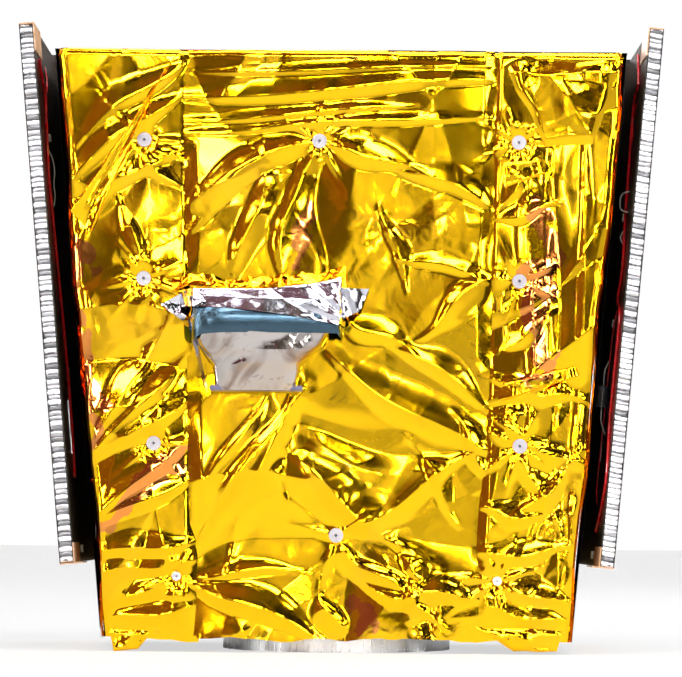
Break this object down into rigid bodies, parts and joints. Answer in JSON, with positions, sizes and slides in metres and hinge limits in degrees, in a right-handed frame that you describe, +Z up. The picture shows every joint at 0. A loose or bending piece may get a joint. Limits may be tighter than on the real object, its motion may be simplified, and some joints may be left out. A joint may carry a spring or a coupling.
{
  "type": "small satellite",
  "caption": "Small satellite: tapered body wrapped in crinkled gold film, folded solar wings hinged at the rear edges, a hooded sensor on the front and a bolted separation ring below.",
  "frame": {"origin": "centre of the bounding box's bottom, on the ground under the body, with the wings folded", "axes": "+Z up; -Y out of the blanketed front face; +X to the right wing as seen from the front"},
  "size_m": [0.5998, 0.28, 0.58],
  "materials": {
    "ring_metal": "machined",
    "panel_metal": "satin",
    "panel_skin": "dark laminate, satin",
    "solar_cells": "glossy cover glass",
    "equipment": "matt",
    "gold_film": "crinkled metallised film",
    "silver_film": "crinkled metallised film",
    "housing_film": "smooth metallised film",
    "button_plastic": "satin",
    "stud_metal": "bright",
    "hinge_metal": "clear anodised",
    "pin_metal": "polished",
    "honeycomb": "bare foil core",
    "clip_metal": "gold-coloured conversion coating",
    "red_wire": "insulation",
    "tie_plastic": "nylon",
    "capsule_plastic": "moulded"
  },
  "bodies": {
    "body": {"separation_ring": "ring_metal", "base_plate": "panel_metal", "top_plate": "panel_metal", "front_panel": "panel_metal", "side_panel_left": "panel_metal", "side_panel_right": "panel_metal", "rear_panel": "panel_skin", "rear_cells": "solar_cells", "avionics_block": "equipment", "front_blanket_left": "gold_film", "front_blanket_middle": "gold_film", "front_blanket_right": "gold_film", "side_blanket_left": "gold_film", "side_blanket_right": "gold_film", "top_blanket": "gold_film", "blanket_buttons": "button_plastic", "blanket_studs": "stud_metal", "sensor_housing": "housing_film", "sensor_hood": "silver_film", "hinge_frame_left": "hinge_metal", "hinge_frame_right": "hinge_metal", "hinge_pins_left": "pin_metal", "hinge_pins_right": "pin_metal"},
    "wing_left": {"wing_core_left": "honeycomb", "wing_inner_skin_left": "panel_skin", "wing_outer_skin_left": "panel_skin", "wing_cells_left": "solar_cells", "wing_clips_left": "clip_metal", "wing_hinge_left": "hinge_metal", "wing_harness_left": "red_wire", "wing_tie_bases_left": "tie_plastic"},
    "wing_right": {"wing_core_right": "honeycomb", "wing_inner_skin_right": "panel_skin", "wing_outer_skin_right": "panel_skin", "wing_cells_right": "solar_cells", "wing_clips_right": "clip_metal", "wing_hinge_right": "hinge_metal", "wing_harness_right": "red_wire", "wing_tie_bases_right": "tie_plastic", "harness_capsule": "capsule_plastic"}
  },
  "joints": [
    {"name": "wing_left_hinge", "type": "hinge", "parent": "body", "child": "wing_left", "pos_m": [-0.27806, 0.123, 0.32405], "axis": [0.0906, 0, -0.9959], "range_deg": [0, 90]},
    {"name": "wing_right_hinge", "type": "hinge", "parent": "body", "child": "wing_right", "pos_m": [0.27806, 0.123, 0.32405], "axis": [0.0906, 0, 0.9959], "range_deg": [0, 90]}
  ]
}
